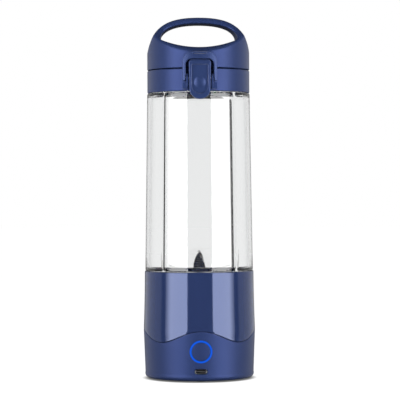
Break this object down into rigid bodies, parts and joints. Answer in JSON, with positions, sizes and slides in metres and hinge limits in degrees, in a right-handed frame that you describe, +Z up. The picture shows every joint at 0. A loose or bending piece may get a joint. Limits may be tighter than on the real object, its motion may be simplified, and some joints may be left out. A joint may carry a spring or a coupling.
{
  "type": "portable blender",
  "caption": "Cordless portable blender: clear ribbed cup screwed to a round battery base with blades, under a flip lid with carry handle, latch and locking bail.",
  "frame": {"origin": "centre of the footprint, on the surface that the blender stands on", "axes": "+Z up along the cup's axis; -Y towards the front, where the latch, the power button and the charging port are; +X is to the right of a viewer who faces the front"},
  "size_m": [0.086, 0.0892, 0.2774],
  "materials": {
    "navy_gloss": "high gloss, moulded ABS",
    "navy_satin": "satin, moulded polypropylene",
    "navy_rubber": "satin silicone over-mould",
    "clear_plastic": "clear Tritan copolyester",
    "silicone": "translucent silicone",
    "black_plastic": "moulded, matte",
    "foot_rubber": "moulded rubber",
    "stainless": "brushed",
    "steel_pin": "ground",
    "zinc_screw": "zinc plated",
    "motor_steel": "drawn steel can",
    "magnet": "sintered ferrite",
    "laminations": "stacked steel with copper windings",
    "bronze": "sintered bronze",
    "cell_wrap": "shrink wrap",
    "nickel_strip": "nickel strip",
    "board_green": "solder mask",
    "chip_black": "epoxy",
    "white_light": "light-emitting diode",
    "blue_light": "translucent light guide, lit blue",
    "port_metal": "drawn stainless shell"
  },
  "bodies": {
    "base": {"base_shell": "navy_gloss", "base_boot": "navy_rubber", "bottom_cover": "black_plastic", "feet": "foot_rubber", "cover_screws": "zinc_screw", "chassis": "black_plastic", "motor_can": "motor_steel", "motor_magnets": "magnet", "motor_end_bell": "black_plastic", "motor_screws": "zinc_screw", "battery_cells": "cell_wrap", "cell_cradle": "black_plastic", "cell_strap": "nickel_strip", "control_board": "board_green", "board_chips": "chip_black", "tact_switch": "chip_black", "ring_lights": "white_light", "light_ring": "blue_light", "usb_shell": "port_metal", "usb_tongue": "chip_black", "blade_deck": "navy_gloss", "shaft_bearing": "bronze", "shaft_seal": "silicone"},
    "blades": {"drive_shaft": "stainless", "rotor": "laminations", "blade_spacer": "stainless", "blade_lower": "stainless", "blade_upper": "stainless", "blade_washer": "stainless", "blade_nut": "stainless"},
    "power_button_body": {"power_button": "navy_rubber"},
    "cup_carrier": {"cup_seal": "silicone"},
    "cup_body": {"cup": "clear_plastic"},
    "lid_carrier": {"lid_gasket": "silicone"},
    "collar": {"lid_collar": "navy_satin", "spout_deck": "navy_satin", "hinge_pin": "steel_pin", "latch_pin": "steel_pin", "latch_spring": "stainless"},
    "lid": {"flip_lid": "navy_satin", "spout_plug": "silicone"},
    "latch": {"latch_button": "navy_satin"},
    "bail": {"lock_bail": "navy_satin"}
  },
  "joints": [
    {"name": "blade_spin", "type": "hinge", "parent": "base", "child": "blades", "pos_m": [0, 0, 0.03], "axis": [0, 0, 1], "continuous": true},
    {"name": "power_press", "type": "slide", "parent": "base", "child": "power_button_body", "axis": [0, 1, 0], "range_m": [0, 0.0007], "stiffness_N_per_m": 400},
    {"name": "cup_rise", "type": "slide", "parent": "base", "child": "cup_carrier", "axis": [0, 0, 1], "range_m": [0, 0.06]},
    {"name": "cup_turn", "type": "hinge", "parent": "cup_carrier", "child": "cup_body", "pos_m": [0, 0, 0.08], "axis": [0, 0, 1], "range_deg": [0, 720]},
    {"name": "lid_rise", "type": "slide", "parent": "cup_body", "child": "lid_carrier", "axis": [0, 0, 1], "range_m": [0, 0.06]},
    {"name": "lid_turn", "type": "hinge", "parent": "lid_carrier", "child": "collar", "pos_m": [0, 0, 0.227], "axis": [0, 0, 1], "range_deg": [0, 720]},
    {"name": "lid_flip", "type": "hinge", "parent": "collar", "child": "lid", "pos_m": [0, 0.0416, 0.2371], "axis": [-1, 0, 0], "range_deg": [0, 115]},
    {"name": "latch_press", "type": "hinge", "parent": "collar", "child": "latch", "pos_m": [0, -0.0409, 0.2293], "axis": [1, 0, 0], "range_deg": [0, 6], "stiffness_Nm_per_rad": 0.05, "deforming": ["latch_spring"]},
    {"name": "bail_swing", "type": "hinge", "parent": "collar", "child": "bail", "pos_m": [0, -0.0409, 0.2293], "axis": [1, 0, 0], "range_deg": [0, 100]}
  ],
  "couplings": [
    {"joint": "cup_rise", "follows": "cup_turn", "m_per_rad": 0.0047746},
    {"joint": "lid_rise", "follows": "lid_turn", "m_per_rad": 0.0047746}
  ]
}
